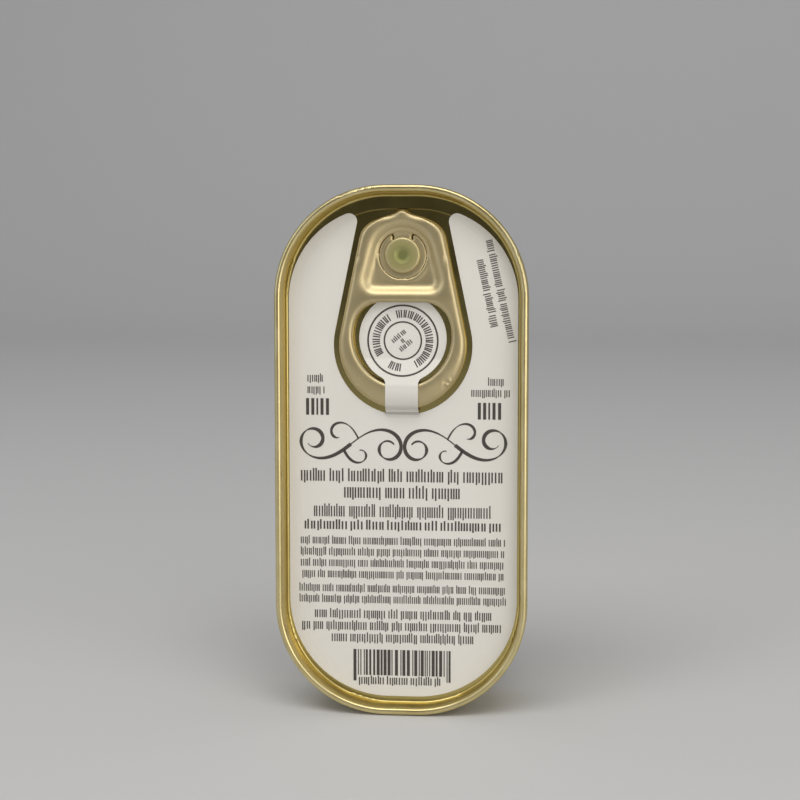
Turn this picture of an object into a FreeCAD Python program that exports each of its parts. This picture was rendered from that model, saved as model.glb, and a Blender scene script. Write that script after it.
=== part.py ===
"""Anchovy tin: a drawn can with rounded ends, shut by an easy-open lid with a ring tab.

The tin is built lying on its base with the lid up: X across, Y along its length, Z from the
base (0) to the top of the seam.  Then it is stood on its end, leaning back on the seam's lower
edge and the can's base corner, with the lid towards -Y.  All sizes are millimetres.
"""
import FreeCAD
import Part
import math
import os
from FreeCAD import Vector

# ---- the whole tin, over the seam
TIN_LENGTH = 104.5
TIN_WIDTH = 50.0
TIN_DEPTH = 19.0
CORNER_RADIUS = 22.0

# ---- double seam that holds lid and can together
SEAM_THICKNESS = 1.3
SEAM_HEIGHT = 2.9
SEAM_TOP_RADIUS = 0.62
SEAM_FOOT_RADIUS = 0.35

# ---- can, drawn in one piece
CAN_SHEET = 0.22
WALL_DRAFT = 1.0                # degrees, narrower towards the base
BASE_CORNER_RADIUS = 1.8
BASE_RIM_WIDTH = 6.0            # flat rim round the raised base panel
BASE_PANEL_RISE = 0.6
BASE_STEP_RUN = 0.7
BASE_STEP_RADIUS = 0.5

# ---- lid
LID_SHEET = 0.25
RECESS_DEPTH = 3.9              # seam top down to the panel
CHUCK_WALL_RUN = 0.35           # how far the wall inside the seam leans in
PANEL_EDGE_RADIUS = 0.45
SCORE_INSET = 4.6               # score line, from the outer edge of the seam
SCORE_WIDTH = 0.3
SCORE_DEPTH = 0.07
CORE_MARGIN = 2.0               # from the base step to the flat middle of the tin

# ---- rivet, raised from the lid's own sheet
RIVET_INSET = 13.6              # rivet centre, from the end of the tin
RIVET_SHANK_RADIUS = 2.3
RIVET_HEAD_RADIUS = 3.55
RIVET_HEAD_HEIGHT = 0.6
RIVET_HEAD_ROUND = 0.5
RIVET_CLEARANCE = 0.1           # shank to the hole in the tab
DIMPLE_RADIUS = 1.7
DIMPLE_DEPTH = 0.22
DIMPLE_ROUND = 0.7

# ---- ring tab, with places measured from the rivet
TAB_SHEET = 0.45
TAB_LIFT = 0.3                  # curled edge above the panel
TAB_CURL_HEIGHT = 1.55          # thickness over the curled edge
TAB_OUTER_ROUND = 1.1
TAB_INNER_ROUND = 0.9
TAB_UNDER_ROUND = 0.35
RING_RADIUS = 12.6
RING_REACH = 30.3               # rivet to the far edge of the ring
SIDE_TAPER = 11.7               # degrees, from the ring up to the shoulders
CROWN_FLATNESS = 0.4            # how much larger the crown's radius is than the ring's
SHOULDER_RADIUS = 4.6
NOSE_RISE = 0.9                 # point of the nose beyond the crown
NOSE_RADIUS = 1.35
NOSE_FLANK_RADIUS = 5.0
HOLE_RADIUS = 9.75
HOLE_REACH = 25.6               # rivet to the far edge of the finger hole
HOLE_NEAR = 9.2                 # rivet to its near, straight edge
HOLE_CORNER_RADIUS = 5.3
BOWL_ARCH_RADIUS = 6.6
BOWL_REACH = 7.7                # rivet to the edge of the bowl beside the finger hole
BOWL_HALF_WIDTH = 8.1
BOWL_CORNER_RADIUS = 2.6
BOWL_WALL_RUN = 1.6             # how far the bowl's wall leans in
BOWL_BRIM_ROUND = 0.55
LANCE_RADIUS = 4.7              # cut round the tongue that the rivet holds
LANCE_WIDTH = 0.34
LANCE_HINGE = 67.0              # degrees left uncut, on the side of the nose
LANCE_HOOK_RADIUS = 0.5
COIN_RADIUS = 4.3               # tongue pressed thinner under the rivet's head
COIN_DEPTH = 0.12

# ---- paper label
PAPER = 0.12
LABEL_MARGIN = 0.1              # label to the rounded edge of the panel
LABEL_TOP_DROP = 2.0            # how much further in the label's upper end lies
LABEL_FOOT_DROP = 0.7           # and its lower end
LABEL_SHOULDER_RADIUS = 18.3
LABEL_TIP_RADIUS = 1.6
CUT_CLEARANCE = 1.2             # cut-out of the label to the tab
NECK_WIDTH = 6.5
NECK_ROUND = 1.4
NECK_FOOT = 1.4                 # neck leaves the panel this far beyond the ring
NECK_REST = 4.3                 # flat length of the neck on the ring
NECK_RUN_DOWN = 5.2             # from the ring down to the panel, inside the finger hole
NECK_FOLD_RADIUS = 1.0
PAPER_GAP = 0.03                # neck to the top of the ring
DISC_RADIUS = 8.7
DISC_REACH = 16.3               # rivet to the middle of the disc

# ---- places that follow from these sizes
UP = Vector(0, 0, 1)
PANEL = TIN_DEPTH - RECESS_DEPTH
PANEL_UNDER = PANEL - LID_SHEET
PANEL_INSET = SEAM_THICKNESS + CHUCK_WALL_RUN + PANEL_EDGE_RADIUS
SEAM_FOOT = TIN_DEPTH - SEAM_HEIGHT
SEAM_FOOT_WALL = SEAM_THICKNESS - LID_SHEET - CAN_SHEET
BASE_WALL = SEAM_FOOT_WALL + SEAM_FOOT * math.tan(math.radians(WALL_DRAFT))
BASE_STEP = BASE_WALL + BASE_RIM_WIDTH
CORE_INSET = BASE_STEP + BASE_STEP_RUN + CORE_MARGIN
RIVET_Y = TIN_LENGTH / 2 - RIVET_INSET
TAB_TOP = PANEL + TAB_LIFT + TAB_CURL_HEIGHT
TONGUE_TOP = PANEL + TAB_SHEET
NOSE_REACH = RIVET_INSET - SCORE_INSET
RING_CENTRE = RING_REACH - RING_RADIUS
CROWN_RADIUS = RING_RADIUS + CROWN_FLATNESS


# ---------------------------------------------------------------- outlines and sections

def rounded_wire(corners, place):
    """Closed outline through corners (u, v, radius), each rounded to its own radius."""
    rounds = []
    for i, (u, v, radius) in enumerate(corners):
        here = Vector(u, v, 0)
        before, after = corners[i - 1], corners[(i + 1) % len(corners)]
        back = (Vector(before[0], before[1], 0) - here).normalize()
        ahead = (Vector(after[0], after[1], 0) - here).normalize()
        half = back.getAngle(ahead) / 2
        reach = radius / math.tan(half)
        rounds.append((here + back * reach, here + ahead * reach, here, radius, half))
    edges = []
    for i, (start, end, here, radius, half) in enumerate(rounds):
        if radius:
            inward = ((start + end) * 0.5 - here).normalize()
            middle = here + inward * (radius / math.sin(half) - radius)
            edges.append(Part.Arc(*[place(p.x, p.y) for p in (start, middle, end)]).toShape())
        following = rounds[(i + 1) % len(rounds)][0]
        edges.append(Part.LineSegment(place(end.x, end.y), place(following.x, following.y)).toShape())
    return Part.Wire(edges)


def belt_wire(circles, z):
    """Outline of a belt stretched round circles (x, y, radius) given anticlockwise."""
    runs = []
    for i, (x, y, radius) in enumerate(circles):
        next_x, next_y, next_radius = circles[(i + 1) % len(circles)]
        along = math.atan2(next_y - y, next_x - x)
        facing = along - math.acos((radius - next_radius) / math.hypot(next_x - x, next_y - y))
        out = Vector(math.cos(facing), math.sin(facing), 0)
        start = Vector(x, y, z) + out * radius
        end = Vector(next_x, next_y, z) + out * next_radius
        runs.append((facing, start, end))
    edges = []
    for (x, y, radius), before, run in zip(circles, runs[-1:] + runs[:-1], runs):
        middle = before[0] + (run[0] - before[0]) % (2 * math.pi) / 2
        crest = Vector(x + radius * math.cos(middle), y + radius * math.sin(middle), z)
        edges.append(Part.Arc(before[2], crest, run[1]).toShape())
        edges.append(Part.LineSegment(run[1], run[2]).toShape())
    return Part.Wire(edges)


def prism(wire, height):
    return Part.Face(wire).extrude(UP * height)


def tin_outline(inset, z):
    """The tin's outline, inset from the outer edge of the seam."""
    x, y, radius = TIN_WIDTH / 2 - inset, TIN_LENGTH / 2 - inset, CORNER_RADIUS - inset
    corners = [(x, -y, radius), (x, y, radius), (-x, y, radius), (-x, -y, radius)]
    return rounded_wire(corners, lambda u, v: Vector(u, v, z))


def round_the_tin(section):
    """Solids that carry a section (inset, height, radius) once round the tin's outline."""
    end = TIN_WIDTH / 2 - CORNER_RADIUS
    side = TIN_LENGTH / 2 - CORNER_RADIUS
    face = Part.Face(rounded_wire(section, lambda s, z: Vector(CORNER_RADIUS - s, 0, z)))
    corners = [(end, side, end), (-end, side, side), (-end, -side, end), (end, -side, side)]
    pieces = []
    for quarter, (x, y, run) in enumerate(corners):
        corner = Vector(x, y, 0)
        start = face.copy()
        start.rotate(Vector(), UP, 90 * quarter)
        start.translate(corner)
        pieces.append(start.revolve(corner, UP, 90))
        start.rotate(corner, UP, 90)
        heading = math.radians(90 * (quarter + 2))
        pieces.append(start.extrude(Vector(math.cos(heading), math.sin(heading), 0) * (2 * run)))
    return pieces


def one_solid(shape):
    solids = shape.removeSplitter().Solids
    if len(solids) != 1:
        raise ValueError("expected one solid, found %d" % len(solids))
    return solids[0]


def level_face(shape, z, facing):
    """The flat face at height z that faces up (1) or down (-1), the largest if there are several."""
    faces = [f for f in shape.Faces
             if isinstance(f.Surface, Part.Plane) and abs(f.CenterOfMass.z - z) < 1e-4
             and f.normalAt(0, 0).z * facing > 0.99]
    return max(faces, key=lambda f: f.BoundBox.DiagonalLength)


def upright_edges(shape, test):
    """Edges that run straight up and whose place (x, y) passes the test."""
    found = []
    for edge in shape.Edges:
        box = edge.BoundBox
        if box.XLength < 1e-4 and box.YLength < 1e-4 and test(box.Center.x, box.Center.y):
            found.append(edge)
    return found


# ---------------------------------------------------------------- can and lid

def lid_underside():
    """Lower side of the lid from the seam's foot in to the core: the can ends on it."""
    lean = CHUCK_WALL_RUN / RECESS_DEPTH
    wall = SEAM_THICKNESS - LID_SHEET
    return [
        (wall + lean * SEAM_HEIGHT, SEAM_FOOT, 0),
        (wall + lean * (RECESS_DEPTH + LID_SHEET), PANEL_UNDER, PANEL_EDGE_RADIUS + LID_SHEET),
        (CORE_INSET, PANEL_UNDER, 0),
    ]


def make_can():
    """Drawn can: drafted wall, round base corner and a base panel raised by a step."""
    section = [
        (SEAM_FOOT_WALL, SEAM_FOOT, 0),
        (BASE_WALL, 0, BASE_CORNER_RADIUS),
        (BASE_STEP, 0, BASE_STEP_RADIUS),
        (BASE_STEP + BASE_STEP_RUN, BASE_PANEL_RISE, BASE_STEP_RADIUS),
        (CORE_INSET, BASE_PANEL_RISE, 0),
    ] + lid_underside()[::-1]
    core = prism(tin_outline(CORE_INSET, BASE_PANEL_RISE), PANEL_UNDER - BASE_PANEL_RISE)
    return one_solid(core.fuse(round_the_tin(section)))


def make_rivet():
    """Button rivet: shank through the tab, head on its tongue, dimple left by the punch."""
    seat = TONGUE_TOP - COIN_DEPTH
    top = seat + RIVET_HEAD_HEIGHT
    root = PANEL - LID_SHEET / 2
    section = [
        (0, root, 0),
        (RIVET_SHANK_RADIUS, root, 0),
        (RIVET_SHANK_RADIUS, seat, 0),
        (RIVET_HEAD_RADIUS, seat, 0),
        (RIVET_HEAD_RADIUS, top, RIVET_HEAD_ROUND),
        (DIMPLE_RADIUS, top, DIMPLE_ROUND),
        (DIMPLE_RADIUS / 2, top - DIMPLE_DEPTH, DIMPLE_ROUND),
        (0, top - DIMPLE_DEPTH, 0),
    ]
    wire = rounded_wire(section, lambda r, z: Vector(r, RIVET_Y, z))
    return Part.Face(wire).revolve(Vector(0, RIVET_Y, 0), UP, 360)


def make_lid():
    """Easy-open lid: seam, wall down to the panel, score line and rivet, all of one sheet."""
    section = [
        (0, SEAM_FOOT, SEAM_FOOT_RADIUS),
        (0, TIN_DEPTH, SEAM_TOP_RADIUS),
        (SEAM_THICKNESS, TIN_DEPTH, SEAM_TOP_RADIUS),
        (SEAM_THICKNESS + CHUCK_WALL_RUN, PANEL, PANEL_EDGE_RADIUS),
        (SCORE_INSET - SCORE_WIDTH / 2, PANEL, 0),
        (SCORE_INSET, PANEL - SCORE_DEPTH, 0),
        (SCORE_INSET + SCORE_WIDTH / 2, PANEL, 0),
        (CORE_INSET, PANEL, 0),
    ] + lid_underside()[::-1]
    core = prism(tin_outline(CORE_INSET, PANEL_UNDER), LID_SHEET)
    return one_solid(core.fuse(round_the_tin(section) + [make_rivet()]))


# ---------------------------------------------------------------- ring tab

def ring_and_sides(grow, head_y, crown_y=None):
    """Ring with two tapering sides, closed at head_y by a line or by an arc over crown_y.

    It is the tab's outline and, grown outwards, the cut-out of the label round it.
    """
    taper = math.radians(SIDE_TAPER)
    radius = RING_RADIUS + grow
    centre_y = RIVET_Y - RING_CENTRE
    touch = Vector(radius * math.cos(taper), centre_y + radius * math.sin(taper), 0)
    head = Vector(touch.x - (head_y - touch.y) * math.tan(taper), head_y, 0)
    other_touch, other_head = Vector(-touch.x, touch.y, 0), Vector(-head.x, head.y, 0)
    closing = Part.LineSegment(head, other_head)
    if crown_y is not None:
        closing = Part.Arc(head, Vector(0, crown_y, 0), other_head)
    return Part.Wire([
        Part.Arc(other_touch, Vector(0, centre_y - radius, 0), touch).toShape(),
        Part.LineSegment(touch, head).toShape(),
        closing.toShape(),
        Part.LineSegment(other_head, other_touch).toShape(),
    ])


def tab_outline():
    """Ring and sides under a crown: the head lies where the crown's arc cuts the side lines."""
    taper = math.radians(SIDE_TAPER)
    crown_y = RIVET_Y + NOSE_REACH - NOSE_RISE
    centre_y = crown_y - CROWN_RADIUS
    offset = RING_RADIUS - (centre_y - (RIVET_Y - RING_CENTRE)) * math.sin(taper)
    chord = math.sqrt(CROWN_RADIUS ** 2 - offset ** 2)
    head_y = centre_y + offset * math.sin(taper) + chord * math.cos(taper)
    return ring_and_sides(0, head_y, crown_y)


def finger_hole():
    """Round at the far side, straight at the near one, with a corner arc between them."""
    centre_y = RIVET_Y - HOLE_REACH + HOLE_RADIUS
    top = RIVET_Y - HOLE_NEAR
    corner_y = top - HOLE_CORNER_RADIUS
    inner = HOLE_RADIUS - HOLE_CORNER_RADIUS
    corner_x = math.sqrt(inner ** 2 - (corner_y - centre_y) ** 2)
    lean = math.atan2(corner_y - centre_y, corner_x)
    middle = (lean + math.pi / 2) / 2

    def corner_point(angle, side):
        x = corner_x + HOLE_CORNER_RADIUS * math.cos(angle)
        return Vector(side * x, corner_y + HOLE_CORNER_RADIUS * math.sin(angle), 0)

    right = [corner_point(a, 1) for a in (lean, middle, math.pi / 2)]
    left = [corner_point(a, -1) for a in (math.pi / 2, middle, lean)]
    edges = [
        Part.Arc(*right).toShape(),
        Part.LineSegment(right[2], left[0]).toShape(),
        Part.Arc(*left).toShape(),
        Part.Arc(left[2], Vector(0, centre_y - HOLE_RADIUS, 0), right[0]).toShape(),
    ]
    return Part.Wire(edges)


def bowl_outline(lean_in, z):
    """Outline of the bowl round the rivet, an arch on two rounded corners."""
    corner = BOWL_CORNER_RADIUS - lean_in
    x = BOWL_HALF_WIDTH - BOWL_CORNER_RADIUS
    y = RIVET_Y - BOWL_REACH + BOWL_CORNER_RADIUS
    return belt_wire([(x, y, corner), (0, RIVET_Y, BOWL_ARCH_RADIUS - lean_in), (-x, y, corner)], z)


def arc_slot(x, y, radius, start, end):
    """Cutter for a slot of the lance's width along an arc, angles in degrees."""
    rims = []
    for r in (radius - LANCE_WIDTH / 2, radius + LANCE_WIDTH / 2):
        angles = [math.radians(a) for a in (start, (start + end) / 2, end)]
        rims.append([Vector(x + r * math.cos(a), y + r * math.sin(a), PANEL - 1) for a in angles])
    inner, outer = rims
    edges = [
        Part.Arc(*inner).toShape(),
        Part.LineSegment(inner[2], outer[2]).toShape(),
        Part.Arc(*outer).toShape(),
        Part.LineSegment(outer[0], inner[0]).toShape(),
    ]
    return prism(Part.Wire(edges), 2 + TAB_SHEET)


def lance_cutters():
    """C-shaped cut round the tongue, its two ends hooked inwards so that they don't tear."""
    half = LANCE_HINGE / 2
    cutters = [arc_slot(0, RIVET_Y, LANCE_RADIUS, 90 + half, 450 - half)]
    for angle, start in ((90 - half, 90 - half), (90 + half, half - 90)):
        a = math.radians(angle)
        hook_at = LANCE_RADIUS - LANCE_HOOK_RADIUS
        x, y = hook_at * math.cos(a), RIVET_Y + hook_at * math.sin(a)
        cutters.append(arc_slot(x, y, LANCE_HOOK_RADIUS, start, start + 180))
    return cutters


def make_tab():
    """Ring tab: curled edge, bowl with the riveted tongue, finger hole and nose."""
    crown_y = RIVET_Y + NOSE_REACH - NOSE_RISE
    nose_y = crown_y + NOSE_RISE - NOSE_RADIUS
    nose = Part.makeCylinder(NOSE_RADIUS, TAB_CURL_HEIGHT, Vector(0, nose_y, 0))
    tab = one_solid(prism(tab_outline(), TAB_CURL_HEIGHT).fuse(nose))
    tab = tab.makeFillet(NOSE_FLANK_RADIUS, upright_edges(tab, lambda x, y: abs(x) < NOSE_RADIUS))
    tab = tab.makeFillet(SHOULDER_RADIUS, upright_edges(
        tab, lambda x, y: y > RIVET_Y and abs(x) > RING_RADIUS / 2))
    tab = tab.cut(prism(finger_hole(), TAB_CURL_HEIGHT))

    top = level_face(tab, TAB_CURL_HEIGHT, 1)
    hole_brim = [e for w in top.Wires if not w.isSame(top.OuterWire) for e in w.Edges]
    tab = tab.makeFillet(TAB_INNER_ROUND, hole_brim)
    tab = tab.makeFillet(TAB_OUTER_ROUND, level_face(tab, TAB_CURL_HEIGHT, 1).OuterWire.Edges)
    tab = tab.makeFillet(TAB_UNDER_ROUND, level_face(tab, 0, -1).Edges)
    tab.translate(UP * (PANEL + TAB_LIFT))

    bowl = Part.makeLoft([bowl_outline(BOWL_WALL_RUN, TONGUE_TOP), bowl_outline(0, TAB_TOP)], True, True)
    pan = prism(bowl_outline(BOWL_WALL_RUN - TAB_SHEET, PANEL), TAB_SHEET + TAB_LIFT)
    tab = one_solid(tab.fuse(pan).cut(bowl))
    top = level_face(tab, TAB_TOP, 1)
    holes = [w for w in top.Wires if not w.isSame(top.OuterWire)]
    brim = max(holes, key=lambda w: w.CenterOfMass.y)
    tab = tab.makeFillet(BOWL_BRIM_ROUND, brim.Edges)

    coin = Part.makeCylinder(COIN_RADIUS, TAB_SHEET, Vector(0, RIVET_Y, TONGUE_TOP - COIN_DEPTH))
    shank = RIVET_SHANK_RADIUS + RIVET_CLEARANCE
    hole = Part.makeCylinder(shank, 2 * TAB_SHEET, Vector(0, RIVET_Y, PANEL - TAB_SHEET / 2))
    return one_solid(tab.cut([coin, hole] + lance_cutters()))


# ---------------------------------------------------------------- paper label

def strip_section(points, radius, thickness):
    """Section of a sheet that follows points (y, z) on its lower side, its folds rounded."""
    turns = [0.0]
    for (y0, z0), (y1, z1), (y2, z2) in zip(points, points[1:], points[2:]):
        turns.append(math.atan2(z2 - z1, y2 - y1) - math.atan2(z1 - z0, y1 - y0))
    turns.append(0.0)
    lower, upper = [], []
    for i, ((y, z), turn) in enumerate(zip(points, turns)):
        near, far = points[max(i - 1, 0)], points[min(i + 1, len(points) - 1)]
        before = math.atan2(z - near[1], y - near[0]) if i else None
        after = math.atan2(far[1] - z, far[0] - y) if i < len(points) - 1 else before
        heading = after - turn / 2
        reach = thickness / math.cos(turn / 2)
        folded = bool(turn)
        lower.append((y, z, radius + thickness * (turn > 0) if folded else 0))
        upper.append((y - reach * math.sin(heading), z + reach * math.cos(heading),
                      radius + thickness * (turn < 0) if folded else 0))
    return lower + upper[::-1]


def make_label():
    """Die-cut paper label: field with two lobes beside the tab, and a neck over the ring
    that ends in a round disc lying in the finger hole."""
    side = PANEL_INSET + LABEL_MARGIN
    lower = CORNER_RADIUS - side
    x1 = TIN_WIDTH / 2 - side - lower
    y1 = TIN_LENGTH / 2 - side - LABEL_FOOT_DROP - lower
    upper = LABEL_SHOULDER_RADIUS
    x2 = TIN_WIDTH / 2 - side - upper
    y2 = TIN_LENGTH / 2 - side - LABEL_TOP_DROP - upper
    corners = [(x1, -y1, lower), (x2, y2, upper), (-x2, y2, upper), (-x1, -y1, lower)]
    field = prism(belt_wire(corners, 0), PAPER)
    field = field.cut(prism(ring_and_sides(CUT_CLEARANCE, TIN_LENGTH / 2), PAPER))
    tips = upright_edges(field, lambda x, y: y > RIVET_Y)
    field = field.makeFillet(LABEL_TIP_RADIUS, tips)

    disc_y = RIVET_Y - DISC_REACH
    foot = RING_REACH + NECK_FOOT
    overlap = 2 * NECK_FOOT
    disc = Part.makeCylinder(DISC_RADIUS, TAB_TOP, Vector(0, disc_y, 0))
    neck = Part.makeBox(NECK_WIDTH, disc_y - (RIVET_Y - foot - overlap), TAB_TOP,
                        Vector(-NECK_WIDTH / 2, RIVET_Y - foot - overlap, 0))
    plan = one_solid(disc.fuse(neck))
    plan = plan.makeFillet(NECK_ROUND, upright_edges(plan, lambda x, y: y > RIVET_Y - foot))

    height = TAB_TOP - PANEL + PAPER_GAP
    far = -foot + height
    near = far + NECK_REST
    path = [(-foot - 2 * overlap, 0), (-foot, 0), (far, height), (near, height),
            (near + NECK_RUN_DOWN, 0), (DISC_RADIUS - DISC_REACH + overlap, 0)]
    section = strip_section(path, NECK_FOLD_RADIUS, PAPER)
    wire = rounded_wire(section, lambda y, z: Vector(-DISC_RADIUS - 1, RIVET_Y + y, z))
    ribbon = Part.Face(wire).extrude(Vector(2 * DISC_RADIUS + 2, 0, 0))
    label = one_solid(field.fuse(ribbon.common(plan)))
    label.translate(UP * PANEL)
    return label


def place_on_end(shapes):
    """Stand the tin on its end, leaning back as far as its seam sticks out beyond the can."""
    seam_foot = (TIN_LENGTH / 2 - SEAM_FOOT_RADIUS, SEAM_FOOT + SEAM_FOOT_RADIUS, SEAM_FOOT_RADIUS)
    draft = math.radians(WALL_DRAFT)
    wall = BASE_WALL - BASE_CORNER_RADIUS * math.tan(draft)
    base_end = TIN_LENGTH / 2 - wall - BASE_CORNER_RADIUS / math.cos(draft)
    base_corner = (base_end, BASE_CORNER_RADIUS, BASE_CORNER_RADIUS)
    out = seam_foot[0] - base_corner[0]
    rise = seam_foot[1] - base_corner[1]
    lean = math.acos((base_corner[2] - seam_foot[2]) / math.hypot(out, rise)) - math.atan2(rise, out)
    floor = seam_foot[0] * math.cos(lean) - seam_foot[1] * math.sin(lean) + seam_foot[2]
    print("leans back %.2f degrees" % math.degrees(lean))
    placed = {}
    for name, shape in shapes.items():
        shape = shape.copy()
        shape.rotate(Vector(), Vector(1, 0, 0), 90 - math.degrees(lean))
        shape.translate(UP * floor)
        placed[name] = shape
    boxes = [shape.optimalBoundingBox() for shape in placed.values()]
    middle = (min(b.YMin for b in boxes) + max(b.YMax for b in boxes)) / 2
    for shape in placed.values():
        shape.translate(Vector(0, -middle, 0))
    return placed


os.makedirs("parts", exist_ok=True)
shapes = {
    "can_body": make_can(),
    "easy_open_lid": make_lid(),
    "ring_tab": make_tab(),
    "paper_label": make_label(),
}
for name, shape in place_on_end(shapes).items():
    shape.exportStep("parts/%s.step" % name)
    print(name, shape.isValid(), len(shape.Faces), round(shape.Volume, 2), shape.optimalBoundingBox())
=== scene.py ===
import bpy
import bmesh
import math
import random
from mathutils import Matrix, Quaternion, Vector, noise
from mathutils.bvhtree import BVHTree


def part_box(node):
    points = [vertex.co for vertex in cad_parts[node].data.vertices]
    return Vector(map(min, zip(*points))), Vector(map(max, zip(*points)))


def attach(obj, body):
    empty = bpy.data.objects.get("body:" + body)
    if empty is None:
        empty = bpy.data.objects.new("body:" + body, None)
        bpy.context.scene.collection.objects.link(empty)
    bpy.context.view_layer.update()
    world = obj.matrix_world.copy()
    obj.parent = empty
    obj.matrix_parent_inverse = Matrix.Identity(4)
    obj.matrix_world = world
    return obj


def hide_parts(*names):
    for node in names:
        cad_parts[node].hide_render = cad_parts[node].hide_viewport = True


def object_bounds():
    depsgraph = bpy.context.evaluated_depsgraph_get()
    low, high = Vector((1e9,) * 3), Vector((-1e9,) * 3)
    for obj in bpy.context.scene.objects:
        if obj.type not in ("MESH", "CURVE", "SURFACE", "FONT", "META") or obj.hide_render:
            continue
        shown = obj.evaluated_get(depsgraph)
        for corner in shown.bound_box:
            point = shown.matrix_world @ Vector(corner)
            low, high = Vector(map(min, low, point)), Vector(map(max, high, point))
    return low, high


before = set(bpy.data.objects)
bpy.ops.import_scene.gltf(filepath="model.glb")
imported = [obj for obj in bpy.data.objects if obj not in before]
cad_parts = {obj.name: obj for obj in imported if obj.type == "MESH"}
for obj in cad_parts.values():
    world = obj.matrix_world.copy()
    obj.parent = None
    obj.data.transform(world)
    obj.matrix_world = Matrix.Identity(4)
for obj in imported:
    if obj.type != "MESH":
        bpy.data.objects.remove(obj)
cad_low, cad_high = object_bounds()


# ------------------------------------------------------------------ can body
# The drawn can, gold-lacquered all over and seamed to the lid. The pack is shut, so its solid is
# filled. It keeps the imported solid's mesh and gets the lacquer that the lid shares.

MM = 0.001
LEAN = math.radians(4.2)        # the tin stands on its end and leans back this far
LABEL_FOOT = Vector((0, -49.35, 15.1)) * MM     # bottom of the label, in the tin's lying frame
PAPER = 0.12 * MM               # thickness of the label
CORNER_RADIUS = 22 * MM         # of the seam's outer edge, seen on the lid
END_STRAIGHT = (cad_high.x - cad_low.x) / 2 - CORNER_RADIUS
HALF_LENGTH = 52.25 * MM
SIDE_STRAIGHT = HALF_LENGTH - CORNER_RADIUS
RIVET_PLACE = Vector((0, 38.65, 0)) * MM
RIVET_HEAD = 3.5 * MM           # radius of the rivet's head
HEAD_FOOT = 15.3 * MM           # the head begins above this height
SCORE_INSET = 4.6 * MM
SEAM_INSIDE = 1.9 * MM          # inner side of the double seam, in from its outer edge
PANEL = 15.1 * MM               # face of the lid's panel above the base
SEAM_TOP = 19.0 * MM
CREST_FOOT = 18.4 * MM          # the seam's lacquer is worn pale above this height
MOTTLE_SPAN = (0.3, 0.7)        # most of what the slow waves reach
GRAIN_STRENGTH = 0.12
GRAIN_DEPTH = 0.00001
SCRATCH_CUT = 0.74              # the higher, the fewer scratches
SCRATCH_STRENGTH = 0.4
TURN_UP = Matrix.Rotation(math.pi / 2 - LEAN, 4, "X")
foot_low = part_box("paper_label")[0]
foot_there = TURN_UP @ LABEL_FOOT
foot_front = TURN_UP @ (LABEL_FOOT + Vector((0, 0, PAPER)))
STAND_UP = Matrix.Translation((0, foot_low.y - foot_front.y, foot_low.z - foot_there.z)) @ TURN_UP


def new_group(name, inputs, outputs):
    """An empty shader node group with named sockets."""
    group = bpy.data.node_groups.new(name, "ShaderNodeTree")
    for label, kind, default in inputs:
        socket = group.interface.new_socket(label, in_out="INPUT", socket_type=kind)
        if default is not None:
            socket.default_value = default
    for label, kind in outputs:
        group.interface.new_socket(label, in_out="OUTPUT", socket_type=kind)
    return group, group.nodes.new("NodeGroupInput"), group.nodes.new("NodeGroupOutput")


def put(tree, kind, inputs=None, **settings):
    """A node of one kind; inputs given as sockets are linked and as values are set."""
    node = tree.nodes.new(kind)
    for key, value in settings.items():
        setattr(node, key, value)
    for key, value in (inputs or {}).items():
        if isinstance(value, bpy.types.NodeSocket):
            tree.links.new(value, node.inputs[key])
        else:
            node.inputs[key].default_value = value
    return node


def place_group(tree, group, inputs):
    """The shared effect group in a material, with that material's own values."""
    node = tree.nodes.new("ShaderNodeGroup")
    node.node_tree = group
    for key, value in inputs.items():
        if isinstance(value, bpy.types.NodeSocket):
            tree.links.new(value, node.inputs[key])
        else:
            node.inputs[key].default_value = value
    return node


def lying_coordinates(tree):
    """Object coordinates turned back to the tin's lying frame: X across, Y along, Z out of the lid."""
    lie_down = STAND_UP.inverted()
    coordinates = put(tree, "ShaderNodeTexCoord")
    return put(tree, "ShaderNodeMapping", {
        "Vector": coordinates.outputs["Object"],
        "Location": lie_down.to_translation(),
        "Rotation": lie_down.to_euler(),
    }).outputs["Vector"]


def make_rolled_grain():
    """Fine lines left in sheet metal by rolling, and slow waves in its lacquer."""
    group, given, out = new_group("rolled_grain", [
        ("Vector", "NodeSocketVector", None),
        ("Along", "NodeSocketFloat", 120.0),
        ("Across", "NodeSocketFloat", 5000.0),
    ], [("Grain", "NodeSocketFloat"), ("Mottle", "NodeSocketFloat")])
    scale = put(group, "ShaderNodeCombineXYZ", {
        "X": given.outputs["Across"], "Y": given.outputs["Along"], "Z": given.outputs["Along"]})
    stretched = put(group, "ShaderNodeVectorMath", {0: given.outputs["Vector"], 1: scale.outputs["Vector"]},
                    operation="MULTIPLY")
    grain = put(group, "ShaderNodeTexNoise", {
        "Vector": stretched.outputs["Vector"], "Scale": 1.0, "Detail": 3.0, "Roughness": 0.6})
    mottle = put(group, "ShaderNodeTexNoise", {
        "Vector": given.outputs["Vector"], "Scale": 160.0, "Detail": 4.0, "Roughness": 0.55})
    group.links.new(grain.outputs["Fac"], out.inputs["Grain"])
    group.links.new(mottle.outputs["Fac"], out.inputs["Mottle"])
    return group


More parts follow.
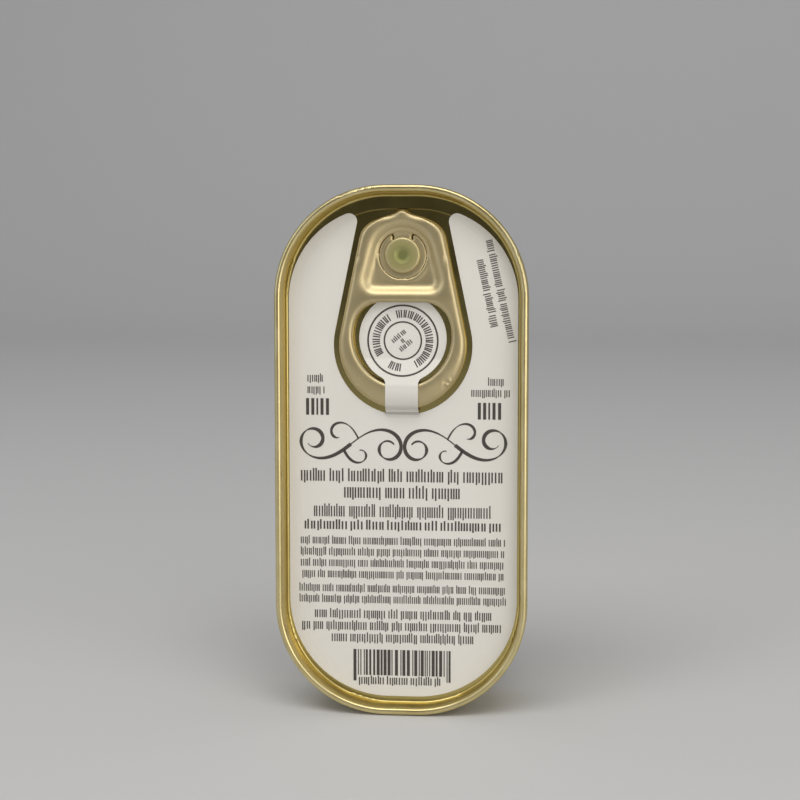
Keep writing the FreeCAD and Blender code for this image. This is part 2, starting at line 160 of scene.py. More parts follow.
def make_scuffs():
    """Short fine scratches in two directions, from handling."""
    group, given, out = new_group("scuffs", [
        ("Vector", "NodeSocketVector", None),
        ("Cut", "NodeSocketFloat", 0.66),
    ], [("Scratch", "NodeSocketFloat")])
    marks = []
    for turn, lengths in ((0.5, (2600.0, 170.0, 600.0)), (-0.9, (3100.0, 220.0, 700.0))):
        turned = put(group, "ShaderNodeMapping", {
            "Vector": given.outputs["Vector"], "Rotation": (0.0, 0.0, turn), "Scale": lengths})
        strokes = put(group, "ShaderNodeTexNoise", {
            "Vector": turned.outputs["Vector"], "Scale": 1.0, "Detail": 1.0, "Roughness": 0.4})
        edge = put(group, "ShaderNodeMath", {0: given.outputs["Cut"], 1: 0.05}, operation="ADD")
        marks.append(put(group, "ShaderNodeMapRange", {
            "Value": strokes.outputs["Fac"], "From Min": given.outputs["Cut"],
            "From Max": edge.outputs["Value"]}))
    both = put(group, "ShaderNodeMath", {
        0: marks[0].outputs["Result"], 1: marks[1].outputs["Result"]}, operation="MAXIMUM")
    group.links.new(both.outputs["Value"], out.inputs["Scratch"])
    return group


def make_edge_inset():
    """How far a point lies in from the seam's outer edge, all round the tin."""
    group, given, out = new_group("edge_inset", [("Vector", "NodeSocketVector", None)],
                                  [("Inset", "NodeSocketFloat")])
    folded = put(group, "ShaderNodeVectorMath", {0: given.outputs["Vector"]}, operation="ABSOLUTE")
    beyond = put(group, "ShaderNodeVectorMath", {
        0: folded.outputs["Vector"], 1: (END_STRAIGHT, SIDE_STRAIGHT, 0)}, operation="SUBTRACT")
    parts = put(group, "ShaderNodeSeparateXYZ", {"Vector": beyond.outputs["Vector"]})
    reach = []
    for axis in ("X", "Y"):
        reach.append(put(group, "ShaderNodeMath", {0: parts.outputs[axis], 1: 0.0}, operation="MAXIMUM"))
    corner = put(group, "ShaderNodeCombineXYZ", {
        "X": reach[0].outputs["Value"], "Y": reach[1].outputs["Value"]})
    from_corner = put(group, "ShaderNodeVectorMath", {0: corner.outputs["Vector"]}, operation="LENGTH")
    largest = put(group, "ShaderNodeMath", {
        0: parts.outputs["X"], 1: parts.outputs["Y"]}, operation="MAXIMUM")
    inner = put(group, "ShaderNodeMath", {0: largest.outputs["Value"], 1: 0.0}, operation="MINIMUM")
    both = put(group, "ShaderNodeMath", {
        0: from_corner.outputs["Value"], 1: inner.outputs["Value"]}, operation="ADD")
    inset = put(group, "ShaderNodeMath", {
        0: CORNER_RADIUS, 1: both.outputs["Value"]}, operation="SUBTRACT")
    group.links.new(inset.outputs["Value"], out.inputs["Inset"])
    return group


rolled_grain = make_rolled_grain()
scuffs = make_scuffs()
edge_inset = make_edge_inset()


def mix_colours(tree, factor, first, second):
    """Colour mix; sockets 0, 6 and 7 are the factor and the two colours of this type."""
    node = put(tree, "ShaderNodeMix", data_type="RGBA")
    for index, value in ((0, factor), (6, first), (7, second)):
        if isinstance(value, bpy.types.NodeSocket):
            tree.links.new(value, node.inputs[index])
        else:
            node.inputs[index].default_value = value
    return node.outputs[2]


def between(tree, value, low, high, to_low=0.0, to_high=1.0, smooth=False):
    """A value mapped from one range to another, clamped."""
    node = put(tree, "ShaderNodeMapRange", {
        "Value": value, "From Min": low, "From Max": high, "To Min": to_low, "To Max": to_high})
    node.interpolation_type = "SMOOTHSTEP" if smooth else "LINEAR"
    return node.outputs["Result"]


def calculate(tree, operation, first, second):
    """One sum on sockets or numbers."""
    return put(tree, "ShaderNodeMath", {0: first, 1: second}, operation=operation).outputs["Value"]


def apart(tree, value, mark):
    """How far a value lies from a mark, to either side."""
    difference = calculate(tree, "SUBTRACT", value, mark)
    return put(tree, "ShaderNodeMath", {0: difference}, operation="ABSOLUTE").outputs["Value"]


def axis_distance(tree, place, axis):
    """How far a point lies from an axis that stands upright on the lid."""
    away = put(tree, "ShaderNodeVectorMath", {0: place, 1: axis}, operation="SUBTRACT")
    flat = put(tree, "ShaderNodeVectorMath", {
        0: away.outputs["Vector"], 1: (1, 1, 0)}, operation="MULTIPLY")
    length = put(tree, "ShaderNodeVectorMath", {0: flat.outputs["Vector"]}, operation="LENGTH")
    return length.outputs["Value"]


def gold_lacquer():
    """Tinplate under clear gold lacquer: a soft sheen on the bends, smoother in the flats,
    and worked dull and greenish on the head of the rivet, with painted shade in its dished middle and a
    painted lighter rim."""
    material = bpy.data.materials.new("gold_lacquer")
    material.use_nodes = True
    tree = material.node_tree
    shader = tree.nodes["Principled BSDF"]
    place = lying_coordinates(tree)
    sheet = place_group(tree, rolled_grain, {"Vector": place, "Along": 500.0, "Across": 2600.0})
    handled = place_group(tree, scuffs, {"Vector": place, "Cut": SCRATCH_CUT})
    inset = place_group(tree, edge_inset, {"Vector": place}).outputs["Inset"]
    height = put(tree, "ShaderNodeSeparateXYZ", {"Vector": place}).outputs["Z"]

    radius = axis_distance(tree, place, RIVET_PLACE)
    head = calculate(tree, "MULTIPLY",
                     between(tree, radius, RIVET_HEAD, 3.8 * MM, 1.0, 0.0),
                     between(tree, height, HEAD_FOOT, 15.4 * MM))
    on_bends = between(tree, inset, SEAM_INSIDE, 2.3 * MM, 1.0, 0.0)

    deep = mix_colours(tree, sheet.outputs["Mottle"], (0.53, 0.42, 0.14, 1), (0.62, 0.5, 0.18, 1))
    crest = between(tree, height, CREST_FOOT, SEAM_TOP)
    worn = calculate(tree, "MULTIPLY", crest, sheet.outputs["Mottle"])
    pale = mix_colours(tree, worn, deep, (0.84, 0.74, 0.46, 1))
    # Painted shade: the rivet's head is painted dark over its dished middle and lighter towards its rim;
    # only its greenish tone is the lacquer's own.
    dimple_shade_fade = between(tree, radius, 0.6 * MM, 2.4 * MM, smooth=True)
    middle = mix_colours(tree, dimple_shade_fade, (0.29, 0.3, 0.11, 1), (0.5, 0.45, 0.2, 1))
    rim_painted_lighter = between(tree, radius, 2.4 * MM, RIVET_HEAD, smooth=True)
    middle = mix_colours(tree, rim_painted_lighter, middle, (0.6, 0.52, 0.29, 1))
    coloured = mix_colours(tree, head, pale, middle)
    # Painted shade: the lacquer is painted dark along the score groove in the panel, which dulls the
    # groove's reflection.
    from_score = apart(tree, inset, SCORE_INSET)
    off_panel = apart(tree, height, PANEL)
    off_score_shade = calculate(tree, "MAXIMUM", between(tree, from_score, 0.12 * MM, 0.22 * MM),
                          between(tree, off_panel, 0.2 * MM, 0.3 * MM))
    coloured = mix_colours(tree, off_score_shade, (0.22, 0.18, 0.07, 1), coloured)
    faint = calculate(tree, "MULTIPLY", handled.outputs["Scratch"], SCRATCH_STRENGTH)
    scratched = mix_colours(tree, faint, coloured, (0.72, 0.62, 0.34, 1))
    tree.links.new(scratched, shader.inputs["Base Color"])

    flats = between(tree, sheet.outputs["Mottle"], *MOTTLE_SPAN, 0.15, 0.2)
    bends = between(tree, sheet.outputs["Mottle"], *MOTTLE_SPAN, 0.3, 0.38)
    rough = put(tree, "ShaderNodeMix", {"Factor": on_bends, "A": flats, "B": bends}, data_type="FLOAT")
    rough = put(tree, "ShaderNodeMix", {"Factor": head, "A": rough.outputs["Result"], "B": 0.52},
                data_type="FLOAT")
    tree.links.new(rough.outputs["Result"], shader.inputs["Roughness"])
    bump = put(tree, "ShaderNodeBump", {
        "Strength": GRAIN_STRENGTH, "Distance": GRAIN_DEPTH, "Height": sheet.outputs["Grain"]})
    tree.links.new(bump.outputs["Normal"], shader.inputs["Normal"])
    shader.inputs["Metallic"].default_value = 1.0
    shader.inputs["Coat Weight"].default_value = 0.2
    shader.inputs["Coat Roughness"].default_value = 0.15
    return material


def finish_node(name, material):
    """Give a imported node's mesh one material in place of the one it came with."""
    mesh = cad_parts[name].data
    mesh.materials.clear()
    mesh.materials.append(material)


lacquer = gold_lacquer()
finish_node("can_body", lacquer)


# ------------------------------------------------------------------ easy-open lid
# One pressed sheet: double seam, chuck wall, recessed panel with its score line and rivet.
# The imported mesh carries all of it, so only the lacquer is laid on.

finish_node("easy_open_lid", lacquer)


# ------------------------------------------------------------------ ring tab
# Metal tab with curled edges, held by the lid's rivet, under a satin champagne lacquer.
# The press leaves no sharp corner on it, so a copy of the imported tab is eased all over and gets
# the press's low relief: a falling ring, a lip along the cut, and crimps in the curl.

GRAIN_OF_MESH = 0.15 * MM
HOLE_MIDDLE = Vector((0, 22.8)) * MM
TAB_FOOT = 15.4 * MM            # underside of the curl, above the tin's base
TAB_TOP = 16.95 * MM            # top of the curl
RING_FALL = 0.7 * MM
FALL_ALONG = (14 * MM, 24 * MM)         # full below the first, none above the second
FALL_OUTWARD = (11.0 * MM, 15.6 * MM)   # from the hole's middle
BOWL_FLOOR = 15.55 * MM
FLOOR_EDGE = 5.6 * MM           # the bowl's wall begins here, out from the rivet
BRIM_EDGE = 8.1 * MM
BOWL_SIDE = 0.9 * MM            # towards the ring the bowl is square, and this much wider
BOWL_HEEL = 0.5 * MM            # and this much longer
CUT_RADIUS = 4.7 * MM
CUT_REACH = 1.4 * MM            # what lies further from the cut stays
CUT_PULL = 0.14 * MM            # how far each side of the cut moves in
LIP_RISE = 0.13 * MM
CRIMP_PLACE = Vector((9.6, 13.3)) * MM
CRIMP_HEIGHT = 0.42 * MM
CRIMP_WIDTH = 0.8 * MM
SAME_POINT = 0.0001 * MM
EASING = 0.5                    # share of the way to its neighbours' middle, each pass
ALL_OVER_PASSES = 12
WALL_PASSES = 90
LAST_PASSES = 2


def ramp(value, low, high):
    """0 below low, 1 above high, and smooth between them."""
    share = min(1.0, max(0.0, (value - low) / (high - low)))
    return share * share * (3 - 2 * share)


def ease_heights(pressed, passes):
    """Round every bend of the pressing by evening out its heights; its outline stays."""
    for i in range(passes):
        bmesh.ops.smooth_vert(pressed, verts=pressed.verts, factor=EASING, use_axis_z=True)


def even_out(pressed, verts, passes):
    """Even points out in every direction."""
    for i in range(passes):
        bmesh.ops.smooth_vert(pressed, verts=verts, factor=EASING, use_axis_x=True,
                              use_axis_y=True, use_axis_z=True)


def in_bowl_wall(point):
    """Whether a point belongs to the bowl's wall or to the bends above and below it."""
    off_rivet = (point.xy - RIVET_PLACE.xy).length
    reach = off_rivet
    if point.y <= RIVET_PLACE.y:
        reach = max(abs(point.x) - BOWL_SIDE, RIVET_PLACE.y - point.y - BOWL_HEEL)
    return off_rivet > FLOOR_EDGE and reach < BRIM_EDGE and point.z > BOWL_FLOOR - 0.15 * MM


def let_ring_fall(vert):
    """The ring's lower half falls away outside its crest."""
    out = (vert.co.xy - HOLE_MIDDLE).length
    lower_half = 1 - ramp(vert.co.y, *FALL_ALONG)
    upper_side = ramp(vert.co.z, TAB_FOOT, TAB_TOP)
    vert.co.z -= RING_FALL * ramp(out, *FALL_OUTWARD) * lower_half * upper_side


def close_the_cut(vert):
    """The cut round the tongue is a hair's breadth, and its outer side stands up as a lip."""
    away = vert.co.xy - RIVET_PLACE.xy
    off_cut = away.length - CUT_RADIUS
    if abs(off_cut) > CUT_REACH or vert.co.z > BOWL_FLOOR + 0.3 * MM:
        return
    pull = CUT_PULL * (1 - ramp(abs(off_cut), 0.19 * MM, 0.6 * MM))
    if off_cut > 0:
        vert.co.z += LIP_RISE * (1 - ramp(off_cut, 0.3 * MM, 1.3 * MM))
        pull = -pull
    vert.co.xy += away.normalized() * pull


def crimp_the_curl(vert):
    """Small folds where the curl is gathered in the ring's tightest bend."""
    beside = Vector((abs(vert.co.x), vert.co.y)) - CRIMP_PLACE
    near = 1 - ramp(beside.length, 0.4 * MM, 2.0 * MM)
    if near > 0:
        fold = noise.noise(vert.co / CRIMP_WIDTH)
        vert.co.z += CRIMP_HEIGHT * near * fold * ramp(vert.co.z, TAB_FOOT, TAB_TOP)


def pressed_tab():
    """The tab's mesh, evened to small faces, eased and given its low relief."""
    packed = bmesh.new()
    packed.from_mesh(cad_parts["ring_tab"].data)
    bmesh.ops.remove_doubles(packed, verts=packed.verts, dist=SAME_POINT)
    bmesh.ops.transform(packed, matrix=STAND_UP.inverted(), verts=packed.verts)
    lying = bpy.data.meshes.new("tab_lying")
    packed.to_mesh(lying)
    packed.free()
    blank = bpy.data.objects.new("tab_blank", lying)
    bpy.context.scene.collection.objects.link(blank)
    evened = blank.modifiers.new("evened", "REMESH")
    evened.mode = "VOXEL"
    evened.voxel_size = GRAIN_OF_MESH
    now = bpy.context.evaluated_depsgraph_get()
    fine = bpy.data.meshes.new_from_object(blank.evaluated_get(now))
    bpy.data.objects.remove(blank)

    pressed = bmesh.new()
    pressed.from_mesh(fine)
    ease_heights(pressed, ALL_OVER_PASSES)
    wall = [vert for vert in pressed.verts if in_bowl_wall(vert.co)]
    even_out(pressed, wall, WALL_PASSES)
    for vert in pressed.verts:
        let_ring_fall(vert)
        close_the_cut(vert)
        crimp_the_curl(vert)
    even_out(pressed, pressed.verts, LAST_PASSES)
    bmesh.ops.transform(pressed, matrix=STAND_UP, verts=pressed.verts)
    for face in pressed.faces:
        face.smooth = True
    mesh = bpy.data.meshes.new("pressed_tab")
    pressed.to_mesh(mesh)
    pressed.free()
    return mesh


def tab_satin():
    """Satin champagne lacquer, faint grain along the tab, a few rubs from handling."""
    material = bpy.data.materials.new("tab_satin")
    material.use_nodes = True
    tree = material.node_tree
    shader = tree.nodes["Principled BSDF"]
    place = lying_coordinates(tree)
    sheet = place_group(tree, rolled_grain, {"Vector": place, "Along": 700.0, "Across": 1800.0})
    handled = place_group(tree, scuffs, {"Vector": place, "Cut": SCRATCH_CUT})
    base = mix_colours(tree, sheet.outputs["Mottle"], (0.56, 0.46, 0.25, 1), (0.61, 0.51, 0.29, 1))
    faint = calculate(tree, "MULTIPLY", handled.outputs["Scratch"], SCRATCH_STRENGTH)
    rubbed = mix_colours(tree, faint, base, (0.68, 0.6, 0.42, 1))
    tree.links.new(rubbed, shader.inputs["Base Color"])
    satin = between(tree, sheet.outputs["Mottle"], *MOTTLE_SPAN, 0.4, 0.46)
    tree.links.new(satin, shader.inputs["Roughness"])
    grain = put(tree, "ShaderNodeBump", {
        "Strength": GRAIN_STRENGTH, "Distance": GRAIN_DEPTH, "Height": sheet.outputs["Grain"]})
    tree.links.new(grain.outputs["Normal"], shader.inputs["Normal"])
    shader.inputs["Metallic"].default_value = 1.0
    shader.inputs["Coat Weight"].default_value = 0.4
    shader.inputs["Coat Roughness"].default_value = 0.3
    return material


tab_mesh = pressed_tab()
tab_mesh.materials.clear()
tab_mesh.materials.append(tab_satin())
tab = bpy.data.objects.new("pressed_tab", tab_mesh)
bpy.context.scene.collection.objects.link(tab)
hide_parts("ring_tab")
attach(tab, "root")


# ------------------------------------------------------------------ paper label
# Coated paper, die-cut round the tab and stuck to the panel, with a neck over the ring
# that ends in a round disc. The score line, the dished edge and the neck's droop are bump only.

DISH_EDGE = 2.2 * MM            # in from the seam's outer edge
DISH_RISE = 0.2 * MM
RIDGE_RISE = 0.02 * MM
RIDGE_HALF_WIDTH = 0.35 * MM
NECK_RUN = (8.2 * MM, 12.4 * MM)
NECK_DROOP = 1.3 * MM


def label_paper():
    """Matt coated paper: fibres, slow waves, and the lid's score line pressed through it.
    Outside that line the paper looks dished up towards the panel's rounded edge."""
    material = bpy.data.materials.new("label_paper")
    material.use_nodes = True
    tree = material.node_tree
    shader = tree.nodes["Principled BSDF"]
    place = lying_coordinates(tree)
    fibre = put(tree, "ShaderNodeTexNoise", {"Vector": place, "Scale": 5200.0, "Detail": 3.0})
    wave = put(tree, "ShaderNodeTexNoise", {"Vector": place, "Scale": 70.0, "Detail": 2.0})
    shade = mix_colours(tree, wave.outputs["Fac"], (0.735, 0.71, 0.65, 1), (0.79, 0.765, 0.71, 1))
    tree.links.new(shade, shader.inputs["Base Color"])
    inset = place_group(tree, edge_inset, {"Vector": place}).outputs["Inset"]
    dish = between(tree, inset, DISH_EDGE, SCORE_INSET, DISH_RISE, 0.0)
    beside = apart(tree, inset, SCORE_INSET)
    ridge = between(tree, beside, 0.0, RIDGE_HALF_WIDTH, RIDGE_RISE, 0.0, smooth=True)
    axes = put(tree, "ShaderNodeSeparateXYZ", {"Vector": place}).outputs
    run = between(tree, axes["Y"], *NECK_RUN, 1.0, 0.0)
    over_ring = between(tree, axes["Z"], 15.6 * MM, 16.2 * MM)
    droop = calculate(tree, "MULTIPLY", calculate(tree, "POWER", run, 2.0), -NECK_DROOP)
    low = calculate(tree, "ADD", calculate(tree, "MULTIPLY", droop, over_ring), ridge)
    pressed = put(tree, "ShaderNodeBump", {
        "Strength": 1.0, "Distance": 1.0, "Height": calculate(tree, "ADD", dish, low)})
    soft = put(tree, "ShaderNodeBump", {
        "Strength": 0.3, "Distance": 0.0006, "Height": wave.outputs["Fac"],
        "Normal": pressed.outputs["Normal"]})
    fine = put(tree, "ShaderNodeBump", {
        "Strength": 0.2, "Distance": 0.00002, "Height": fibre.outputs["Fac"],
        "Normal": soft.outputs["Normal"]})
    tree.links.new(fine.outputs["Normal"], shader.inputs["Normal"])
    shader.inputs["Roughness"].default_value = 0.55
    shader.inputs["Specular IOR Level"].default_value = 0.4
    return material


finish_node("paper_label", label_paper())


# ------------------------------------------------------------------ print on the label
# Dark ink on the paper: rows of small bars where the small print is, a mirrored scroll,
# a band of upright bars and two rings on the disc.  Nothing in it can be read.

INK_COLOUR = (0.045, 0.038, 0.032, 1)
HALF_INK = 0.02 * MM            # half the ink's thickness; it stands on the paper
PRINT_BLOCKS = [
    # middle of the top row, step to the next row, half lengths of the rows, height, bar width
    (-5.1, 3.3, (20.5, 11.8), 2.1, 0.3),
    (-12.2, 0.0, (17.9,), 2.1, 0.25),
    (-15.0, 0.0, (19.8,), 1.6, 0.32),
    (-18.1, 2.26, (20.6, 20.6, 20.6, 20.3), 1.35, 0.2),
    (-27.7, 2.2, (20.9, 20.9), 1.35, 0.19),
    (-32.9, 2.4, (17.8, 20.4, 14.4), 1.55, 0.23),
]
SMALL_HEIGHT = 1.35             # of the small print beside the ring
SMALL_WIDTH = 0.2
SIDE_ROWS = ((-17.4, 14.3, 3.4), (-17.3, 12.0, 3.6), (18.6, 13.8, 3.4), (17.4, 11.6, 7.6))
TURNED_ROWS = ((19.3, 31.6, 20.6), (16.7, 31.2, 13.5))
TURNED_BY = math.radians(-77)
TURNED_HEIGHT = 1.3
GROUP_OF_BARS = (4, 18)         # bars from one wide gap to the next
RISES = (0.0, 0.0, 0.0, 0.0, 0.22, -0.18)       # shares of the height, up or down
GAPS = (0.7, 1.0, 1.3)          # shares of the bar's width
WIDE_GAP = 0.45                 # share of the height
ABOVE_TIN = 0.03                # the ink is let down onto the paper from here
WEIGHT_PLACES = ((-19.4, 8.7), (14.9, 8.1))
WEIGHT_BARS = ((0.3, 0.6), (1.35, 0.6), (2.25, 0.35), (3.2, 0.6), (4.3, 0.6))
WEIGHT_HEIGHT = 3.3
SCROLL_STEPS = 90
NIB_ANGLE = math.radians(35)
BAND_LEFT = -10.0
BAND_RIGHT = 9.6
BAND_MIDDLE = -42.6
BAND_HEIGHT = 5.2
GUARD_DROP = 1.2                # the band's outer bars hang this much lower
RING_LINES = ((6.93, 0.34), (3.68, 0.3))        # radius and width
TICK_ARCS = ((-60, 108), (-118, -92), (-238, -146))
TICK_STEPS = (3.8, 4.8, 6.0)
DISC_ROWS = ((1.15, 3.4), (0, 0.6), (-1.15, 3.2))
DISC_ROWS_TURN = math.radians(40)


def bar(ink, x, y, width, height, place=Matrix()):
    """One printed bar, centred at x, y."""
    size = Matrix.Diagonal((width * MM, height * MM, 1, 1))
    matrix = place @ Matrix.Translation((x * MM, y * MM, 0)) @ size
    bmesh.ops.create_grid(ink, x_segments=1, y_segments=1, size=0.5, matrix=matrix)


def row_of_bars(ink, middle_x, middle_y, length, height, width, pick, place=Matrix()):
    """Upright bars in groups of uneven length that fill a row; a few stand taller or hang lower."""
    x = middle_x - length / 2
    last = middle_x + length / 2 - width
    left_in_group = pick.randint(*GROUP_OF_BARS)
    while x <= last:
        rise = pick.choice(RISES) * height
        bar(ink, x + width / 2, middle_y + rise / 2, width, height + abs(rise), place)
        left_in_group -= 1
        gap = width * pick.choice(GAPS)
        if left_in_group == 0:
            gap = WIDE_GAP * height
            left_in_group = pick.randint(*GROUP_OF_BARS)
        x += width + gap


def label_surface():
    """The label's mesh in the lying frame, for laying the ink on it."""
    paper = bmesh.new()
    paper.from_mesh(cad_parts["paper_label"].data)
    bmesh.ops.transform(paper, matrix=STAND_UP.inverted(), verts=paper.verts)
    tree = BVHTree.FromBMesh(paper)
    paper.free()
    return tree


paper_top = label_surface()


def printed_piece(name, ink, material):
    """Lay flat ink on the paper, stand it up with the tin and give it its thickness."""
    down = Vector((0, 0, -1))
    for vert in ink.verts:
        above = Vector((vert.co.x, vert.co.y, ABOVE_TIN))
        hit = paper_top.ray_cast(above, down)[0]
        if hit is None:
            raise ValueError("ink of %s is off the paper" % name)
        vert.co.z = hit.z + HALF_INK
    bmesh.ops.recalc_face_normals(ink, faces=ink.faces)
    bmesh.ops.transform(ink, matrix=STAND_UP, verts=ink.verts)
    mesh = bpy.data.meshes.new(name)
    ink.to_mesh(mesh)
    ink.free()
    mesh.materials.append(material)
    piece = bpy.data.objects.new(name, mesh)
    bpy.context.scene.collection.objects.link(piece)
    sheet = piece.modifiers.new("ink_thickness", "SOLIDIFY")
    sheet.thickness = 2 * HALF_INK
    sheet.offset = 0
    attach(piece, "root")


def ink_material():
    """Flat dark ink that lets a little of the paper's grain through."""
    material = bpy.data.materials.new("print_ink")
    material.use_nodes = True
    tree = material.node_tree
    shader = tree.nodes["Principled BSDF"]
    place = lying_coordinates(tree)
    patches = put(tree, "ShaderNodeTexNoise", {"Vector": place, "Scale": 3800.0, "Detail": 2.0})
    tone = mix_colours(tree, patches.outputs["Fac"], INK_COLOUR, (0.075, 0.065, 0.055, 1))
    tree.links.new(tone, shader.inputs["Base Color"])
    shader.inputs["Roughness"].default_value = 0.5
    return material


print_ink = ink_material()
pick = random.Random(7)

rows = bmesh.new()
for top, step, half_lengths, height, width in PRINT_BLOCKS:
    for i, half_length in enumerate(half_lengths):
        row_of_bars(rows, 0, top - i * step, 2 * half_length, height, width, pick)
for x, y, length in SIDE_ROWS:
    row_of_bars(rows, x, y, length, SMALL_HEIGHT, SMALL_WIDTH, pick)
for x, y, length in TURNED_ROWS:
    turned = Matrix.Translation((x * MM, y * MM, 0)) @ Matrix.Rotation(TURNED_BY, 4, "Z")
    row_of_bars(rows, 0, 0, length, TURNED_HEIGHT, SMALL_WIDTH, pick, turned)
printed_piece("print_rows", rows, print_ink)

weights = bmesh.new()
for left, middle in WEIGHT_PLACES:
    for x, width in WEIGHT_BARS:
        bar(weights, left + x, middle, width, WEIGHT_HEIGHT)
printed_piece("print_weights", weights, print_ink)


def scroll_path(turn):
    """Half of an S-scroll as points: its bend grows steadily from the middle to the end."""
    points = [Vector((0, 0, 0))]
    length = turn / SCROLL_STEPS
    for i in range(SCROLL_STEPS):
        heading = math.pi / 2 * ((i + 0.5) * length) ** 2
        points.append(points[-1] + Vector((math.cos(heading), math.sin(heading), 0)) * length)
    return points


def scroll_stroke(ink, path, matrix, nib, fine):
    """Ribbon along a path, broad where it runs across a flat nib and fine where it runs with it."""
    strip = bmesh.ops.create_grid(ink, x_segments=len(path) - 1, y_segments=1, size=0.5)["verts"]
    placed = [matrix @ point for point in path]
    for vert in strip:
        i = round((vert.co.x + 0.5) * (len(path) - 1))
        along = (placed[min(i + 1, len(path) - 1)] - placed[max(i - 1, 0)]).normalized()
        heading = math.atan2(along.y, abs(along.x))
        taper = min(1.0, 6 * (1 - i / (len(path) - 1)) + 0.35)
        width = (fine + (nib - fine) * abs(math.sin(heading - NIB_ANGLE))) * taper
        side = Vector((-along.y, along.x, 0)) * (width * (0.5 if vert.co.y > 0 else -0.5))
        vert.co = (placed[i] + side) * MM


scroll = bmesh.new()
for mirror in (1, -1):
    here = Matrix.Diagonal((mirror, 1, 1, 1)) @ Matrix.Translation((10.4, 1.3, 0))
    for flip in (0, math.pi):
        large = here @ Matrix.Rotation(flip - math.radians(38), 4, "Z") @ Matrix.Scale(10.6, 4)
        scroll_stroke(scroll, scroll_path(2.25), large, 0.75, 0.22)
    for x, y, angle, size in ((-1.5, 1.1, 62, 6.0), (1.5, -1.1, 242, 5.0)):
        small = here @ Matrix.Translation((x, y, 0)) @ Matrix.Rotation(math.radians(angle), 4, "Z")
        small = small @ Matrix.Diagonal((size, -size, 1, 1))
        scroll_stroke(scroll, scroll_path(1.7), small, 0.55, 0.18)
printed_piece("print_scroll", scroll, print_ink)

band = bmesh.new()
x = BAND_LEFT
while x < BAND_RIGHT - 0.3:
    width = pick.choice((0.2, 0.2, 0.4, 0.6))
    guard = x < BAND_LEFT + 0.8 or x > BAND_RIGHT - 1.1
    drop = GUARD_DROP if guard else 0.0
    bar(band, x + width / 2, BAND_MIDDLE - drop / 2, width, BAND_HEIGHT + drop)
    x += width + pick.choice((0.2, 0.3, 0.4, 0.5))
row_of_bars(band, -0.5, -46.35, 16.8, 1.4, 0.24, pick)
printed_piece("print_bars", band, print_ink)

DISC_MIDDLE = Matrix.Translation((0, 21.9 * MM, 0))
rings = bmesh.new()
for radius, line in RING_LINES:
    edges = []
    for r in (radius - line / 2, radius + line / 2):
        loop = bmesh.ops.create_circle(rings, segments=96, radius=r * MM, matrix=DISC_MIDDLE)
        edges += list({e for v in loop["verts"] for e in v.link_edges})
    bmesh.ops.bridge_loops(rings, edges=edges)
for start, end in TICK_ARCS:
    angle = start
    while angle < end:
        turned = DISC_MIDDLE @ Matrix.Rotation(math.radians(angle), 4, "Z")
        bar(rings, 5.3, 0, 1.5, 0.24, turned)
        angle += pick.choice(TICK_STEPS)
for offset, length in DISC_ROWS:
    turned = DISC_MIDDLE @ Matrix.Rotation(DISC_ROWS_TURN, 4, "Z")
    row_of_bars(rings, 0, offset, length, 0.85, 0.2, pick, turned)
printed_piece("print_disc", rings, print_ink)


# ------------------------------------------------------------------ floor, lamps and camera
# A pale floor that sweeps up into a backdrop, soft lamps from the right, above and low down with a
# weak one at the left, and a dark board behind the camera that the flat metal mirrors.

SWEEP_STEPS = 12
SWEEP_STEP = 0.05
SWEEP_TURN = math.radians(90 / SWEEP_STEPS)
BACKDROP_HEIGHT = 1.2
BOARD_PLACE = (-0.1, -0.7, 0.4)
BOARD_SIZE = (0.9, 0.62)
TIN_MIDDLE = (0, 0, 0.05)


def stage_surface(name, mesh_maker, colour, roughness=0.6):
    """A plain surface of the studio, not part of the tin."""
    shape = bmesh.new()
    mesh_maker(shape)
    mesh = bpy.data.meshes.new(name)
    shape.to_mesh(mesh)
    shape.free()
    material = bpy.data.materials.new(name)
    material.use_nodes = True
    material.node_tree.nodes["Principled BSDF"].inputs["Base Color"].default_value = colour
    material.node_tree.nodes["Principled BSDF"].inputs["Roughness"].default_value = roughness
    mesh.materials.append(material)
    for face in mesh.polygons:
        face.use_smooth = True
    piece = bpy.data.objects.new(name, mesh)
    bpy.context.scene.collection.objects.link(piece)
    return piece


def sweep(shape):
    """Floor with its far edge turned up through a wide bend."""
    bmesh.ops.create_grid(shape, x_segments=1, y_segments=1, size=1.0,
                          matrix=Matrix.Diagonal((1.6, 1.1, 1, 1)))
    bmesh.ops.translate(shape, verts=shape.verts, vec=(0, -0.4, 0))
    far = [e for e in shape.edges if all(v.co.y > 0.6 for v in e.verts)]
    for i in range(SWEEP_STEPS):
        turned = bmesh.ops.extrude_edge_only(shape, edges=far)["geom"]
        moved = [g for g in turned if isinstance(g, bmesh.types.BMVert)]
        angle = SWEEP_TURN * (i + 0.5)
        step = (0, SWEEP_STEP * math.cos(angle), SWEEP_STEP * math.sin(angle))
        bmesh.ops.translate(shape, verts=moved, vec=step)
        edges = [g for g in turned if isinstance(g, bmesh.types.BMEdge)]
        far = [e for e in edges if all(v in moved for v in e.verts)]
    turned = bmesh.ops.extrude_edge_only(shape, edges=far)["geom"]
    moved = [g for g in turned if isinstance(g, bmesh.types.BMVert)]
    bmesh.ops.translate(shape, verts=moved, vec=(0, 0, BACKDROP_HEIGHT))


stage_surface("studio_floor", sweep, (0.62, 0.615, 0.605, 1))


def dark_board(shape):
    """An upright board; the camera doesn't see it and it throws no shadow."""
    upright = Matrix.Translation(BOARD_PLACE) @ Matrix.Rotation(math.pi / 2, 4, "X")
    size = Matrix.Diagonal((*BOARD_SIZE, 1, 1))
    bmesh.ops.create_grid(shape, x_segments=1, y_segments=1, size=0.5, matrix=upright @ size)


board = stage_surface("studio_board", dark_board, (0.06, 0.06, 0.055, 1))
board.visible_camera = False
board.visible_shadow = False


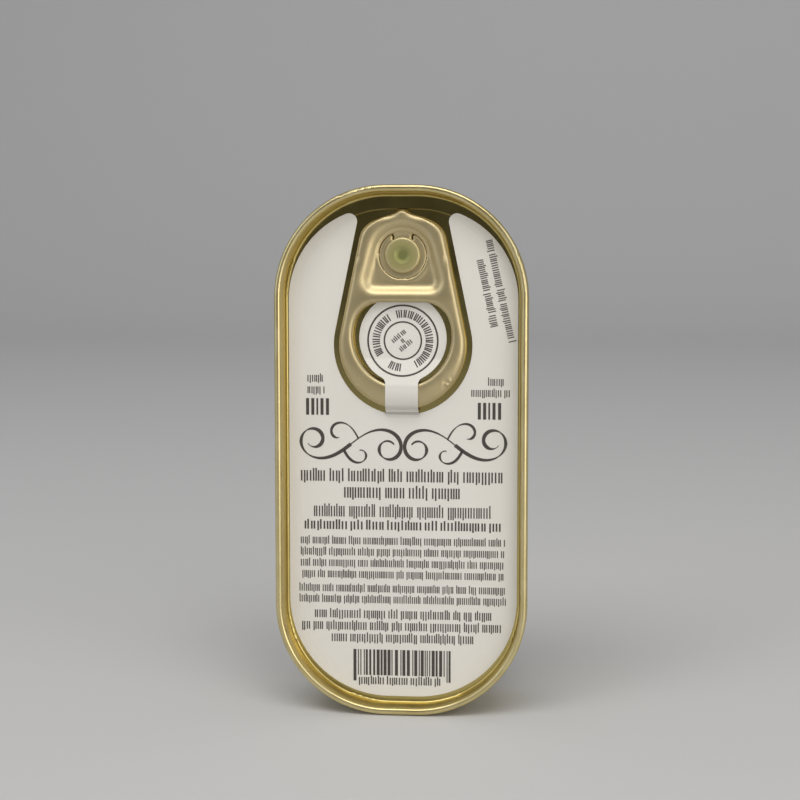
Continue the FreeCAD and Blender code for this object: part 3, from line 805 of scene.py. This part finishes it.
def soft_lamp(name, place, aim, width, height, power, colour):
    """A rectangular lamp at a place, turned towards its aim."""
    lamp = bpy.data.lights.new(name, "AREA")
    lamp.shape = "RECTANGLE"
    lamp.size = width
    lamp.size_y = height
    lamp.energy = power
    lamp.color = colour
    piece = bpy.data.objects.new(name, lamp)
    bpy.context.scene.collection.objects.link(piece)
    piece.location = place
    piece.rotation_mode = "QUATERNION"
    piece.rotation_quaternion = (Vector(aim) - Vector(place)).to_track_quat("-Z", "Y")


soft_lamp("key_lamp", (0.75, -0.75, 0.5), TIN_MIDDLE,
          width=1.0, height=0.9, power=3.2, colour=(1.0, 0.975, 0.94))
soft_lamp("top_lamp", (-0.05, -0.42, 0.9), TIN_MIDDLE,
          width=1.0, height=0.5, power=5.0, colour=(1.0, 0.98, 0.95))
soft_lamp("low_lamp", (0.32, -0.45, 0.09), (0, 0, 0.01),
          width=0.35, height=0.14, power=0.35, colour=(1.0, 0.94, 0.84))
soft_lamp("fill_lamp", (-0.6, -0.5, 0.35), TIN_MIDDLE,
          width=0.5, height=0.5, power=0.9, colour=(0.92, 0.95, 1.0))

scene = bpy.context.scene
scene.view_settings.view_transform = "Standard"
world = bpy.data.worlds.new("studio_air")
scene.world = world
world.use_nodes = True
world.node_tree.nodes["Background"].inputs["Color"].default_value = (0.9, 0.93, 1.0, 1)
world.node_tree.nodes["Background"].inputs["Strength"].default_value = 0.34

lens = bpy.data.cameras.new("camera")
lens.sensor_width = 36
lens.lens = 68.9
lens.shift_x = -0.125
lens.clip_start = 0.01
camera = bpy.data.objects.new("camera", lens)
scene.collection.objects.link(camera)
LID_CREST = STAND_UP @ Vector((0, 0, SEAM_TOP))
camera.location = LID_CREST + Vector((43.7, -292.6, 53.0)) * MM
yaw, pitch, roll = math.radians(4.7), math.radians(8.2), math.radians(0.1)
back = Vector((math.sin(yaw) * math.cos(pitch), -math.cos(yaw) * math.cos(pitch), math.sin(pitch)))
camera.rotation_mode = "QUATERNION"
camera.rotation_quaternion = (-back).to_track_quat("-Z", "Y") @ Quaternion((0, 0, 1), -roll)
scene.camera = camera
